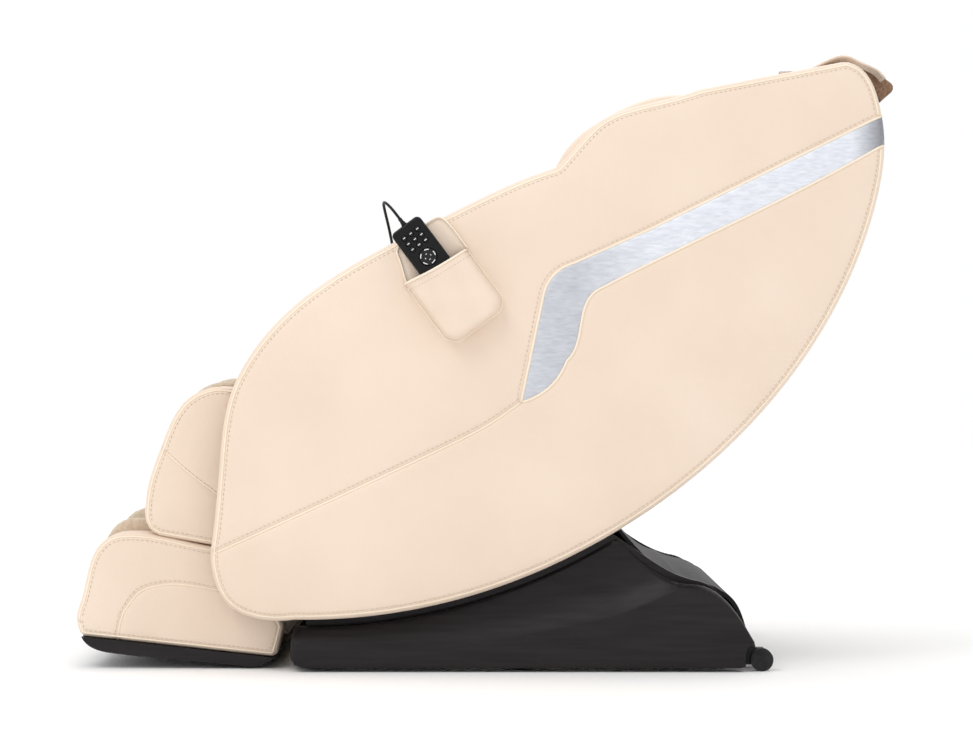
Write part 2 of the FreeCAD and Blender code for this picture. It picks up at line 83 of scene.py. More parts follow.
CORD_ROUTE = [
    (-0.2152, -0.394, 0.791), (-0.229, -0.392, 0.809), (-0.241, -0.372, 0.821), (-0.246, -0.34, 0.822),
    (-0.244, -0.304, 0.808), (-0.238, -0.272, 0.78), (-0.231, -0.25, 0.741), (-0.225, -0.24, 0.69),
    (-0.219, -0.238, 0.63), (-0.212, -0.24, 0.568), (-0.197, -0.241, 0.512), (-0.165, -0.24, 0.474),
    (-0.122, -0.239, 0.466), (-0.087, -0.239, 0.492), (-0.069, -0.24, 0.538), (-0.062, -0.241, 0.582),
    (-0.06, -0.247, 0.606), (-0.06, -0.2605, 0.618),
]


def link(obj, body, slot, *replaced):
    """Puts a finished piece on its body and hides the nodes it stands for; slot is not used."""
    if not obj.users_collection:
        bpy.context.scene.collection.objects.link(obj)
    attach(obj, body)
    if replaced:
        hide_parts(*replaced)
    return obj


def sweep(line, radius, sides=10):
    """Vertices and faces of a round tube along points in the row frame."""
    line = np.asarray(line, float)
    verts = []
    across = Vector((0, 1, 0))
    for p, t in zip(line, np.gradient(line, axis=0)):
        t = Vector(t).normalized()
        if abs(across.dot(t)) > 0.98:
            across = t.orthogonal()
        across = (across - t * across.dot(t)).normalized()
        other = t.cross(across)
        for k in range(sides):
            turn = k * math.tau / sides
            verts.append(Vector(p) + (across * math.cos(turn) + other * math.sin(turn)) * radius)
    faces = [tuple(reversed(range(sides))), tuple(range(len(verts) - sides, len(verts)))]
    for r in range(len(line) - 1):
        for k in range(sides):
            n = (k + 1) % sides
            faces.append((r * sides + k, r * sides + n, (r + 1) * sides + n, (r + 1) * sides + k))
    return verts, faces


def cord():
    """The handset's lead as a round tube along its route, whose corners are cut round."""
    line = np.array(CORD_ROUTE)
    for _ in range(4):
        cuts = np.stack([line[:-1] * 0.75 + line[1:] * 0.25, line[:-1] * 0.25 + line[1:] * 0.75], axis=1)
        line = np.vstack([line[:1], cuts.reshape(-1, 3), line[-1:]])
    line = resample(line, 0.005, False)
    obj = mesh_object("handset_lead", *sweep(line, 0.0025, 12), "cord_rubber")
    bpy.context.scene.collection.objects.link(obj)
    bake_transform(obj)
    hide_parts("handset_cord")


# ---- materials ----------------------------------------------------------------------------------
class Shader:
    """A principled material with its nodes made in a few words."""

    def __init__(self, name, rough, **sockets):
        self.material = bpy.data.materials.new(name)
        self.material.use_nodes = True
        self.tree = self.material.node_tree
        self.main = self.tree.nodes["Principled BSDF"]
        self.main.inputs["Roughness"].default_value = rough
        for socket, value in sockets.items():
            self.main.inputs[socket.replace("_", " ")].default_value = value
        self.place = self.tree.nodes.new("ShaderNodeTexCoord").outputs["Object"]

    def link(self, a, b):
        self.tree.links.new(a, b)

    def scaled(self, scale):
        node = self.tree.nodes.new("ShaderNodeMapping")
        node.inputs["Scale"].default_value = scale
        self.link(self.place, node.inputs["Vector"])
        return node.outputs["Vector"]

    def noise(self, scale, detail=4, stretch=(1, 1, 1)):
        node = self.tree.nodes.new("ShaderNodeTexNoise")
        node.inputs["Scale"].default_value = scale
        node.inputs["Detail"].default_value = detail
        self.link(self.scaled(stretch), node.inputs["Vector"])
        return node.outputs["Fac"]

    def cells(self, scale):
        node = self.tree.nodes.new("ShaderNodeTexVoronoi")
        node.feature = "DISTANCE_TO_EDGE"
        node.inputs["Scale"].default_value = scale
        self.link(self.place, node.inputs["Vector"])
        return node.outputs["Distance"]

    def weave(self, scale):
        bands = []
        for axis in ("X", "Z", "Y"):
            node = self.tree.nodes.new("ShaderNodeTexWave")
            node.bands_direction = axis
            node.inputs["Scale"].default_value = scale
            self.link(self.place, node.inputs["Vector"])
            bands.append(node.outputs["Fac"])
        return self.math("MULTIPLY", self.math("MULTIPLY", bands[0], bands[1]), bands[2])

    def math(self, operation, a, b):
        node = self.tree.nodes.new("ShaderNodeMath")
        node.operation = operation
        for socket, value in zip(node.inputs, (a, b)):
            if isinstance(value, (int, float)):
                socket.default_value = value
            else:
                self.link(value, socket)
        return node.outputs[0]

    def colours(self, fac, low, high, first=0.3, last=0.7):
        node = self.tree.nodes.new("ShaderNodeValToRGB")
        node.color_ramp.elements[0].position = first
        node.color_ramp.elements[1].position = last
        node.color_ramp.elements[0].color = (*low, 1)
        node.color_ramp.elements[1].color = (*high, 1)
        self.link(fac, node.inputs["Fac"])
        self.link(node.outputs["Color"], self.main.inputs["Base Color"])

    def roughness(self, fac, low, high):
        node = self.tree.nodes.new("ShaderNodeMapRange")
        node.inputs["To Min"].default_value = low
        node.inputs["To Max"].default_value = high
        self.link(fac, node.inputs["Value"])
        self.link(node.outputs["Result"], self.main.inputs["Roughness"])

    def bump(self, fac, distance, strength=1.0):
        node = self.tree.nodes.new("ShaderNodeBump")
        node.inputs["Distance"].default_value = distance
        node.inputs["Strength"].default_value = strength
        self.link(fac, node.inputs["Height"])
        if self.main.inputs["Normal"].links:
            self.link(self.main.inputs["Normal"].links[0].from_socket, node.inputs["Normal"])
        self.link(node.outputs["Normal"], self.main.inputs["Normal"])


def leather(name, low, high):
    made = Shader(name, 0.5)
    made.colours(made.noise(5, 5), low, high)
    made.roughness(made.noise(38), 0.42, 0.6)
    made.bump(made.cells(620), 0.0004, 0.55)
    made.bump(made.noise(260, 6), 0.0003, 0.5)
    made.bump(made.noise(14, 3), 0.004, 0.25)
    return made.material


def fabric(name, low, high):
    made = Shader(name, 0.92, Sheen_Weight=0.35, Sheen_Roughness=0.5)
    made.colours(made.noise(180, 6), low, high)
    made.bump(made.weave(260), 0.0008, 0.8)
    made.bump(made.noise(30), 0.003, 0.3)
    return made.material


def foil(name):
    """Brushed silver with painted shade: darker at its bend and where it turns over the head end."""
    made = Shader(name, 0.4, Metallic=0.35)
    made.colours(made.noise(240, 6, (0.25, 1, 1)), (0.62, 0.64, 0.70), (0.80, 0.82, 0.88), 0.25, 0.75)
    # Painted shade: a grey ramp along the object's X, multiplied into the colour, darkens the foil at its
    # bend and where it turns over the head end.
    parts = made.tree.nodes.new("ShaderNodeSeparateXYZ")
    made.link(made.place, parts.inputs[0])
    along = made.tree.nodes.new("ShaderNodeValToRGB")
    along.color_ramp.elements[0].position = 0.0
    along.color_ramp.elements[0].color = (0.78, 0.78, 0.78, 1)
    along.color_ramp.elements[1].position = 1.0
    along.color_ramp.elements[1].color = (0.3, 0.3, 0.31, 1)
    for spot, level in ((0.13, 0.72), (0.32, 1.0), (0.84, 1.0), (0.915, 0.36)):
        stop = along.color_ramp.elements.new(spot)
        stop.color = (level, level, level, 1)
    made.link(made.math("DIVIDE", parts.outputs["X"], 0.68), along.inputs["Fac"])
    both = made.tree.nodes.new("ShaderNodeMixRGB")
    both.blend_type = "MULTIPLY"
    both.inputs["Fac"].default_value = 1.0
    made.link(made.main.inputs["Base Color"].links[0].from_socket, both.inputs["Color1"])
    made.link(along.outputs["Color"], both.inputs["Color2"])
    made.link(both.outputs["Color"], made.main.inputs["Base Color"])
    made.roughness(made.noise(90, 6), 0.35, 0.6)
    made.bump(made.noise(320, 6, (0.3, 1, 1)), 0.0006, 0.5)
    return made.material


def plastic(name, low, high, rough, streak, metal=0.0):
    """Moulded plastic or painted metal: streak stretches its grain along X."""
    made = Shader(name, rough, Metallic=metal, Specular_IOR_Level=0.5 if metal else 0.22)
    made.colours(made.noise(90, 8, (1 / streak, 1, 1)), low, high)
    made.roughness(made.noise(150, 6, (1 / streak, 1, 1)), rough * 0.8, min(1.0, rough * 1.25))
    made.bump(made.noise(420, 4, (1 / streak, 1, 1)), 0.0003, 0.5)
    return made.material


CREAM = ((0.755, 0.615, 0.495), (0.80, 0.66, 0.54))
MATERIALS = {
    "cream_leather": leather("cream_leather", *CREAM),
    "cream_piping": leather("cream_piping", (0.86, 0.735, 0.585), (0.91, 0.79, 0.65)),
    "thread": fabric("thread", (0.60, 0.47, 0.36), (0.68, 0.55, 0.43)),
    "taupe_fabric": fabric("taupe_fabric", (0.56, 0.45, 0.335), (0.70, 0.58, 0.45)),
    "brown_fabric": fabric("brown_fabric", (0.17, 0.09, 0.05), (0.33, 0.20, 0.125)),
    "silver_foil": foil("silver_foil"),
    "dark_plastic": plastic("dark_plastic", (0.008, 0.0062, 0.0074), (0.017, 0.0135, 0.0155), 0.4, 14),
    "black_plastic": plastic("black_plastic", (0.004, 0.004, 0.004), (0.009, 0.009, 0.009), 0.5, 2),
    "gloss_black": plastic("gloss_black", (0.003, 0.003, 0.0035), (0.006, 0.006, 0.0065), 0.3, 1.5),
    "grey_key": plastic("grey_key", (0.010, 0.010, 0.011), (0.018, 0.018, 0.02), 0.35, 1),
    "key_mark": plastic("key_mark", (0.75, 0.75, 0.76), (0.85, 0.85, 0.86), 0.4, 1),
    "cord_rubber": plastic("cord_rubber", (0.008, 0.008, 0.008), (0.014, 0.014, 0.014), 0.55, 1),
    "rubber": plastic("rubber", (0.012, 0.012, 0.012), (0.022, 0.022, 0.022), 0.7, 1),
    "painted_steel": plastic("painted_steel", (0.03, 0.03, 0.033), (0.045, 0.045, 0.05), 0.45, 1, 0.4),
    "steel": plastic("steel", (0.42, 0.42, 0.44), (0.56, 0.56, 0.58), 0.32, 10, 1.0),
}


def paint_nodes():
    """Every CAD node that stays gets the material of its slot."""
    slots = {part["node"]: part["material_slot"] for part in frame["record"]["subparts"]}
    for name, obj in NODES.items():
        obj.data.materials.clear()
        obj.data.materials.append(MATERIALS[slots[name]])


# ---- outlines -----------------------------------------------------------------------------------
def cap_outline(node, level):
    """Closed outline (x, z) of the flat face of a CAD node that lies at y = level."""
    obj = NODES[node]
    follow = {}
    for face in obj.data.polygons:
        places = [obj.matrix_world @ obj.data.vertices[i].co for i in face.vertices]
        if all(abs(p.y - level) < 2e-5 for p in places):
            keys = [(round(p.x, 5), round(p.z, 5)) for p in places]
            for a, b in zip(keys, keys[1:] + keys[:1]):
                follow[(a, b)] = True
    after = {a: b for a, b in follow if (b, a) not in follow}
    start = next(iter(after))
    loop = [start]
    while after[loop[-1]] != start:
        loop.append(after[loop[-1]])
    return np.array(loop)


def resample(line, step, closed=True):
    """Points at even spacing along a polyline."""
    line = np.asarray(line, float)
    if closed:
        line = np.vstack([line, line[:1]])
    runs = np.linalg.norm(np.diff(line, axis=0), axis=1)
    along = np.concatenate([[0], np.cumsum(runs)])
    count = max(4, int(round(along[-1] / step)))
    at = np.linspace(0, along[-1], count + 1)
    if closed:
        at = at[:-1]
    return np.column_stack([np.interp(at, along, line[:, k]) for k in range(line.shape[1])])


def smooth(points, step=0.01):
    """Catmull-Rom curve through a few points, evenly spaced."""
    p = np.asarray(points, float)
    p = np.vstack([2 * p[:1] - p[1:2], p, 2 * p[-1:] - p[-2:-1]])
    t = np.linspace(0, 1, 16, endpoint=False)[:, None]
    parts = []
    for a, b, c, d in zip(p, p[1:], p[2:], p[3:]):
        parts.append(0.5 * (2 * b + (c - a) * t + (2 * a - 5 * b + 4 * c - d) * t ** 2
                            + (3 * b - a - 3 * c + d) * t ** 3))
    return resample(np.vstack(parts + [p[-2:-1]]), step, False)


def distance(points, line, closed=True):
    """Distance of each point from a polyline."""
    a = np.asarray(line)
    b = np.roll(a, -1, axis=0) if closed else a[1:]
    a = a if closed else a[:-1]
    best = np.full(len(points), 1e9)
    for p, q in zip(a, b):
        run = q - p
        t = np.clip(((points - p) @ run) / max(run @ run, 1e-12), 0, 1)
        best = np.minimum(best, np.linalg.norm(points - p - t[:, None] * run, axis=1))
    return best


def inside(points, loop):
    """Which points lie inside a closed outline."""
    result = np.zeros(len(points), bool)
    for (x1, y1), (x2, y2) in zip(loop, np.roll(loop, -1, axis=0)):
        if y1 != y2:
            cross = (y1 > points[:, 1]) != (y2 > points[:, 1])
            result ^= cross & (points[:, 0] < (x2 - x1) * (points[:, 1] - y1) / (y2 - y1) + x1)
    return result


def grown(loop, amount):
    """A closed outline moved outwards."""
    tangent = np.roll(loop, -1, axis=0) - np.roll(loop, 1, axis=0)
    normal = np.column_stack([-tangent[:, 1], tangent[:, 0]]) / np.linalg.norm(tangent, axis=1)[:, None]
    if inside(loop + normal * 0.001, loop).mean() > 0.5:
        normal = -normal
    return loop + normal * amount


def inset(loop, amount):
    """The outline moved inwards, without the points that would cross over."""
    tangent = np.roll(loop, -1, axis=0) - np.roll(loop, 1, axis=0)
    normal = np.column_stack([-tangent[:, 1], tangent[:, 0]]) / np.linalg.norm(tangent, axis=1)[:, None]
    moved = loop + normal * amount
    if inside(moved, loop).mean() < 0.5:
        moved = loop - normal * amount
    return moved[(distance(moved, loop) > 0.93 * amount) & inside(moved, loop)]


# ---- padded pieces ------------------------------------------------------------------------------
class Pad:
    """The crowned face of a padded piece: how far each point lies under the flat CAD face."""

    def __init__(self, loop, edge=0.02, crown=0.01, reach=0.1, seams=(), welt=0.009, extra=None,
                 ripple=0.001):
        self.loop = loop
        self.edge = edge
        self.crown = crown
        self.reach = reach
        self.seams = [(np.asarray(line), deep, wide) for line, deep, wide in seams]
        self.welt = welt
        self.extra = extra
        self.ripple = ripple

    def depth(self, points):
        points = np.atleast_2d(points)
        d = distance(points, self.loop)
        t = np.clip(1 - d / self.edge, 0, 1)
        depth = self.edge * (1 - np.sqrt(1 - t * t)) + self.crown * np.exp(-d / self.reach)
        if self.welt:
            depth += 0.0016 * np.exp(-((d - self.welt) / 0.0028) ** 2)
        for line, deep, wide in self.seams:
            depth += deep * np.exp(-(distance(points, line, False) / wide) ** 2)
        if self.extra:
            depth += self.extra(points)
        bumps = [noise.noise(Vector((p[0] * 9, p[1] * 9, 0.3))) for p in points]
        return depth + self.ripple * (0.5 + np.array(bumps) * 0.5)


def triangulate(pad, step, cuts):
    """Fine triangles over a pad's outline, denser at its rim and beside its seams."""
    ring = resample(pad.loop, step)
    loose = [inset(ring, pad.edge * part) for part in (0.06, 0.22, 0.48, 0.75, 1.0)]
    if pad.welt:
        loose += [inset(ring, pad.welt + shift) for shift in (-0.003, 0, 0.003)]
    for line, _, wide in pad.seams:
        middle = resample(line, step * 0.8, False)
        tangent = np.gradient(middle, axis=0)
        normal = np.column_stack([-tangent[:, 1], tangent[:, 0]]) / np.linalg.norm(tangent, axis=1)[:, None]
        loose += [middle + normal * wide * part for part in (-2, -1, -0.5, 0, 0.5, 1, 2)]
    low, high = ring.min(axis=0), ring.max(axis=0)
    grid = np.stack(np.meshgrid(np.arange(low[0], high[0], step), np.arange(low[1], high[1], step)), -1)
    grid[1::2, :, 0] += step / 2
    grid = grid.reshape(-1, 2)
    clear = distance(grid, ring) > pad.edge + step * 0.3
    for line, _, wide in pad.seams:
        clear &= distance(grid, line, False) > 2.3 * wide
    loose.append(grid[clear])
    loose = np.vstack(loose)
    loose = loose[inside(loose, ring) & (distance(loose, ring) > 0.0008)]
    points = [ring] + [resample(cut, step) for cut in cuts]
    edges = []
    first = 0
    for part in points:
        edges += [(first + i, first + (i + 1) % len(part)) for i in range(len(part))]
        first += len(part)
    points = np.vstack(points + [loose])
    made = delaunay_2d_cdt([Vector(p) for p in points], edges, [], 1, 1e-5)
    flat = np.array([tuple(v) for v in made[0]])
    faces = [f for f in made[2]]
    centres = np.array([flat[list(f)].mean(axis=0) for f in faces])
    keep = inside(centres, ring)
    return flat, [f for f, ok in zip(faces, keep) if ok], centres[keep]


def rim(faces):
    """Directed edges that only one triangle uses."""
    used = {}
    for face in faces:
        for a, b in zip(face, face[1:] + face[:1]):
            used[(a, b)] = True
    return [(a, b) for a, b in used if (b, a) not in used]


def mesh_object(name, verts, faces, material):
    mesh = bpy.data.meshes.new(name)
    mesh.from_pydata([tuple(v) for v in verts], [], [tuple(f) for f in faces])
    made = bmesh.new()
    made.from_mesh(mesh)
    bmesh.ops.remove_doubles(made, verts=made.verts, dist=1e-6)
    loose = [v for v in made.verts if not v.link_faces]
    bmesh.ops.delete(made, geom=loose, context="VERTS")
    bmesh.ops.recalc_face_normals(made, faces=made.faces)
    made.to_mesh(mesh)
    made.free()
    mesh.materials.append(MATERIALS[material])
    for face in mesh.polygons:
        face.use_smooth = True
    return bpy.data.objects.new(name, mesh)


def padded(name, pad, place, thick, body, slot, *replaced, step=0.012, both=False, cuts=(), fill=0.7):
    """A closed padded piece. place(u, v, depth) gives points in the row frame."""
    flat, faces, _ = triangulate(pad, step, cuts)
    depth = pad.depth(flat)
    outer = place(flat[:, 0], flat[:, 1], depth)
    back = thick - (depth if both else np.minimum(depth * 0.2, 0.004))
    inner = place(flat[:, 0], flat[:, 1], back)
    count = len(flat)
    all_faces = list(faces) + [[i + count for i in reversed(f)] for f in faces]
    all_faces += [[b, a, a + count, b + count] for a, b in rim(faces)]
    obj = mesh_object(name, np.vstack([outer, inner]), all_faces, slot)
    link(obj, body, slot, *replaced)
    return obj


def tube(name, line, radius, body, slot, material=None):
    """A welt or mark along points in the row frame."""
    return link(mesh_object(name, *sweep(line, radius, 8), material or slot), body, slot)


def stitches(name, lines, body, slot="cream_leather", pitch=0.0085, size=0.0052, radius=0.00055):
    """Separate thread stitches along lines in the row frame."""
    verts = []
    faces = []
    for line in lines:
        places = resample(line, pitch, False)
        for a, b in zip(places, places[1:]):
            along = Vector(b - a).normalized()
            side = along.cross(Vector((0, 1, 0))).normalized()
            up = along.cross(side)
            middle = Vector((a + b) / 2)
            base = len(verts)
            verts.append(middle - along * size / 2)
            for part in (-0.3, 0.3):
                for k in range(5):
                    turn = k * math.tau / 5
                    around = side * math.cos(turn) + up * math.sin(turn)
                    verts.append(middle + along * size * part + around * radius)
            verts.append(middle + along * size / 2)
            for k in range(5):
                n = (k + 1) % 5
                faces.append((base, base + 1 + n, base + 1 + k))
                faces.append((base + 1 + k, base + 1 + n, base + 6 + n, base + 6 + k))
                faces.append((base + 6 + k, base + 6 + n, base + 11))
    return link(mesh_object(name, verts, faces, "thread"), body, slot)


def bolster(name, node, body, slot, *replaced, edge=0.014, channels=(), creases=(), puff=0.004, fill=0.75,
            flatten=1.0):
    """A long pad with the CAD node's side outline, rounded ends, and sewn channels round or along it."""
    low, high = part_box(node)
    half = (high[1] - low[1]) / 2
    loop = resample(cap_outline(node, low[1]), 0.007)
    loop[:, 1] = low[2] + (loop[:, 1] - low[2]) * flatten
    tangent = np.roll(loop, -1, axis=0) - np.roll(loop, 1, axis=0)
    inward = np.column_stack([-tangent[:, 1], tangent[:, 0]]) / np.linalg.norm(tangent, axis=1)[:, None]
    if inside(loop + inward * 0.003, loop).mean() < 0.5:
        inward = -inward
    fine = edge * np.array([0, 0.04, 0.16, 0.36, 0.64, 1.0])
    stations = list(-half + fine) + list(half - fine)
    stations += list(np.arange(-half + edge + 0.01, half - edge, 0.012))
    for channel in channels:
        stations += [channel + shift for shift in (-0.006, -0.003, 0, 0.003, 0.006)]
    stations = np.unique(np.round(stations, 4))
    along = sum((0.005 * np.exp(-(np.linalg.norm(loop - np.array(c), axis=1) / 0.007) ** 2) for c in creases),
                np.zeros(len(loop)))
    rings = []
    for y in stations:
        t = min(1.0, max(0.0, 1 - (half - abs(y)) / edge))
        depth = edge * (1 - math.sqrt(1 - t * t)) + puff * (abs(y) / half) ** 4
        depth += sum(0.005 * math.exp(-((y - c) / 0.0045) ** 2) for c in channels)
        ripple = [0.0012 * (noise.noise(Vector((p[0] * 8, y * 8, p[1] * 8))) + 1) for p in loop]
        ring = loop + inward * (depth + along + ripple)[:, None]
        rings.append(np.column_stack([ring[:, 0], np.full(len(ring), y), ring[:, 1]]))
    count = len(loop)
    faces = []
    for r in range(len(rings) - 1):
        for k in range(count):
            n = (k + 1) % count
            faces.append((r * count + k, r * count + n, (r + 1) * count + n, (r + 1) * count + k))
    faces.append(tuple(range(count)))
    faces.append(tuple(range(count * (len(rings) - 1), count * len(rings))))
    obj = mesh_object(name, np.vstack(rings), faces, slot)
    link(obj, body, slot, *(replaced or (node,)))
    return obj


def turned(name, profile, origin, axis, body, slot, *replaced, sides=40, material=None):
    """A solid of revolution: profile is (radius, height) along the axis."""
    turn = Vector((0, 0, 1)).rotation_difference(Vector(axis)).to_matrix()
    verts = []
    for radius, height in profile:
        for k in range(sides):
            angle = k * math.tau / sides
            spot = Vector((radius * math.cos(angle), radius * math.sin(angle), height))
            verts.append(Vector(origin) + turn @ spot)
    faces = []
    for r in range(len(profile) - 1):
        for k in range(sides):
            n = (k + 1) % sides
            faces.append((r * sides + k, r * sides + n, (r + 1) * sides + n, (r + 1) * sides + k))
    faces.append(tuple(range(sides)))
    faces.append(tuple(range((len(profile) - 1) * sides, len(profile) * sides)))
    obj = mesh_object(name, verts, faces, material or slot)
    crisp = obj.modifiers.new("crisp", "EDGE_SPLIT")
    crisp.split_angle = math.radians(50)
    return link(obj, body, slot, *replaced)


# ---- seat shell: side panels, strips, pads ------------------------------------------------------
SIDES = ((-1, "left"), (1, "right"))
OUTER = abs(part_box("side_panel_left")[0][1])
PANEL = OUTER - abs(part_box("side_panel_left")[1][1])


def side_place(side, outer):
    """Maps (u, v, depth) of an outward-facing pad to the row frame."""
    return lambda u, v, depth: np.column_stack([u, side * (outer - depth), v])


def on_pad(pad, line, side, outer, lift=0.0):
    """A line drawn on a pad's face, in the row frame."""
    return side_place(side, outer)(line[:, 0], line[:, 1], pad.depth(line) - lift)


def strip_edges():
    """The foil strip's outline, opened and run on past the leaf at its head end."""
    loop = cap_outline("trim_strips", -abs(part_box("trim_strips")[0][1]))
    start = int(loop[:, 0].argmax())
    loop = np.roll(loop, -start, axis=0)
    if abs(loop[1][0] - loop[0][0]) < 0.012 and abs(loop[1][1] - loop[0][1]) > 0.03:
        loop = np.roll(loop, -1, axis=0)
    out = np.array([0.03, 0.014])
    return np.vstack([loop[:1] + out, loop, loop[-1:] + out])


def outside(loop, hole):
    """The part of a closed line outside an area it crosses once, as an open line."""
    hit = inside(loop, hole)
    if not hit.any():
        return np.vstack([loop, loop[:2]])
    first = int(np.flatnonzero(hit & ~np.roll(hit, -1))[0]) + 1
    loop = np.roll(loop, -first, axis=0)
    return loop[~inside(loop, hole)]


def side_panels():
    leaf = grown(resample(cap_outline("side_panel_left", -OUTER), LINE_STEP), PANEL_GROWTH)
    strip = strip_edges()
    tip = strip[int(strip[:, 1].argmin())]
    seam = smooth([(-0.541, 0.209), (-0.388, 0.279), (-0.232, 0.351), (-0.08, 0.424), tuple(tip)], LINE_STEP)
    strip_line = resample(strip, 0.006, False)
    strip_line = strip_line[inside(strip_line, leaf)]
    seams = [(seam, 0.003, 0.0035), (strip_line, 0.0022, 0.003)]
    pad = Pad(leaf, edge=0.016, crown=0.012, reach=0.08, seams=seams)
    flat, faces, centres = triangulate(pad, 0.013, [strip])
    depth = pad.depth(flat)
    on_strip = inside(centres, strip)
    strip_faces = [f for f, yes in zip(faces, on_strip) if yes]
    edge_line = outside(inset(leaf, 0.008), strip)
    beside = strip_line + np.array([-0.0075, 0.0035])
    beside = beside[~inside(beside, strip) & (distance(beside, strip_line, False) > 0.004)]
    stitch_lines = [outside(inset(leaf, 0.013), strip), seam - np.array([0.003, -0.0065]), beside]
    count = len(flat)
    for side, word in SIDES:
        place = side_place(side, OUTER)
        outer = place(flat[:, 0], flat[:, 1], depth)
        inner = place(flat[:, 0], flat[:, 1], np.full(count, PANEL - 0.001))
        solid = list(faces) + [[i + count for i in reversed(f)] for f in faces]
        solid += [[b, a, a + count, b + count] for a, b in rim(faces)]
        name = "side_panel_" + word
        panel = mesh_object(name + "_cover", np.vstack([outer, inner]), solid, "cream_leather")
        link(panel, "seat", "cream_leather", name)
        top = place(flat[:, 0], flat[:, 1], depth - 0.0009)
        under = place(flat[:, 0], flat[:, 1], depth + 0.0007)
        solid = list(strip_faces) + [[i + count for i in reversed(f)] for f in strip_faces]
        solid += [[b, a, a + count, b + count] for a, b in rim(strip_faces)]
        foil_strip = mesh_object("foil_strip_" + word, np.vstack([top, under]), solid, "silver_foil")
        link(foil_strip, "seat", "silver_foil", *(["trim_strips"] if side < 0 else []))
        tube("main_welt_" + word, on_pad(pad, seam, side, OUTER, WELT_LIFT), 0.0019, "seat", "cream_leather",
             "cream_piping")
        tube("strip_welt_" + word, on_pad(pad, strip_line, side, OUTER, 0.0008), 0.0024, "seat",
             "cream_leather", "cream_piping")
        tube("edge_welt_" + word, on_pad(pad, edge_line, side, OUTER, WELT_LIFT), 0.0018, "seat",
             "cream_leather", "cream_piping")
        lines = [on_pad(pad, line, side, OUTER, THREAD_LIFT) for line in stitch_lines]
        stitches("panel_stitches_" + word, lines, "seat")


def inner_pads():
    for side, word in SIDES:
        for node, slot in (("arm_pad_" + word, "cream_leather"), ("shoulder_wings", "cream_leather")):
            outer = abs(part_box("arm_pad_" + word)[0 if side < 0 else 1][1])
            loop = resample(cap_outline(node, side * outer), 0.007)
            pad = Pad(loop, edge=0.024, crown=0.003, reach=0.05)
            name = node + "_cover" if node.startswith("arm") else "shoulder_wing_%s_cover" % word
            replaced = (node,) if node.startswith("arm") or side < 0 else ()
            padded(name, pad, side_place(side, outer), 0.056, "seat", slot, *replaced, both=True, step=0.016)


def seat_cushions():
    centre = (-0.384, 1.13)

    def arc_point(radius, angle):
        turn = math.radians(angle)
        return (centre[0] + radius * math.cos(turn), centre[1] - radius * math.sin(turn))

    bolster("back_cushion_cover", "back_cushion", "seat", "cream_leather", channels=(-0.13, 0.13),
            creases=[arc_point(0.828, a) for a in (22, 33, 44, 55)], edge=0.018)
    bolster("seat_cushion_cover", "seat_cushion", "seat", "cream_leather", channels=(-0.12, 0.12),
            creases=[(-0.30, 0.35), (-0.19, 0.334)], edge=0.018)
    bolster("crown_cover", "crown_cushion", "seat", "cream_leather", channels=(-0.16, 0.16), edge=0.02,
            flatten=CROWN_SHARE)
    bolster("head_pillow_cover", "head_pillow", "head_pillow", "cream_leather", channels=(-0.1, 0.1),
            edge=0.02, fill=0.9)
    bolster("back_flap_lining", "back_flap", "seat", "brown_fabric", edge=0.002, puff=0.0, fill=0.2)


def band_along(name, path, half, thick, body, slot, material=None):
    """A flat strap along a side-view path."""
    path = smooth(path, 0.008)
    tangent = np.gradient(path, axis=0)
    normal = np.column_stack([-tangent[:, 1], tangent[:, 0]]) / np.linalg.norm(tangent, axis=1)[:, None]
    verts = []
    for p, n in zip(path, normal):
        for y, lift in ((-half, 0), (-half, thick), (-half + thick, thick * 1.4), (half - thick, thick * 1.4),
                        (half, thick), (half, 0)):
            q = p + n * lift
            verts.append((q[0], y, q[1]))
    faces = [tuple(range(6)), tuple(range(len(verts) - 6, len(verts)))]
    for r in range(len(path) - 1):
        for k in range(6):
            n = (k + 1) % 6
            faces.append((r * 6 + k, r * 6 + n, (r + 1) * 6 + n, (r + 1) * 6 + k))
    return link(mesh_object(name, verts, faces, material or slot), body, slot)


def head_strap():
    path = [(0.50, 1.058), (0.53, 1.075), (0.556, 1.088), (0.575, 1.0945), (0.592, 1.093), (0.608, 1.085),
            (0.641, 1.070), (0.655, 1.055)]
    band_along("head_strap", path, 0.2, 0.0028, "seat", "cream_leather")


# ---- leg rest -----------------------------------------------------------------------------------
def leg_pads():
    calf_seam = smooth([(-0.6374, 0.3866), (-0.592, 0.347), (-0.5488, 0.314), (-0.516, 0.288)], LINE_STEP)
    foot_seam = smooth([(-0.7215, 0.045), (-0.7118, 0.0907), (-0.6976, 0.1155), (-0.6781, 0.1368),
                        (-0.6462, 0.1474), (-0.6055, 0.1492), (-0.547, 0.1403), (-0.47, 0.125)], LINE_STEP)
    for node, body, seam in (("calf_side", "leg", calf_seam), ("foot_side", "foot", foot_seam)):
        for side, word in SIDES:
            name = "%s_%s" % (node, word)
            outer = max(abs(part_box(name)[0][1]), abs(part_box(name)[1][1]))
            loop = grown(resample(cap_outline(name, side * outer), LINE_STEP), PAD_GROWTH[body])
            pad = Pad(loop, edge=0.011, crown=0.004, reach=0.05, seams=[(seam, 0.0025, 0.003)], welt=0.007)
            padded(name + "_cover", pad, side_place(side, outer), 0.085, body, "cream_leather", name,
                   both=True, step=0.012)
            tube(name + "_welt", on_pad(pad, seam[1:-1], side, outer, THREAD_LIFT), 0.0017, body,
                 "cream_leather", "cream_piping")
            edge_line = inset(loop, 0.007)
            edge_line = np.vstack([edge_line, edge_line[:2]])
            tube(name + "_edge_welt", on_pad(pad, edge_line, side, outer, THREAD_LIFT), 0.0017, body,
                 "cream_leather", "cream_piping")
            beside = (seam + np.array([-0.004, 0.006]))[2:-2]
            lines = [on_pad(pad, line, side, outer, THREAD_LIFT) for line in (inset(loop, 0.012), beside)]
            stitches(name + "_stitches", lines, body)


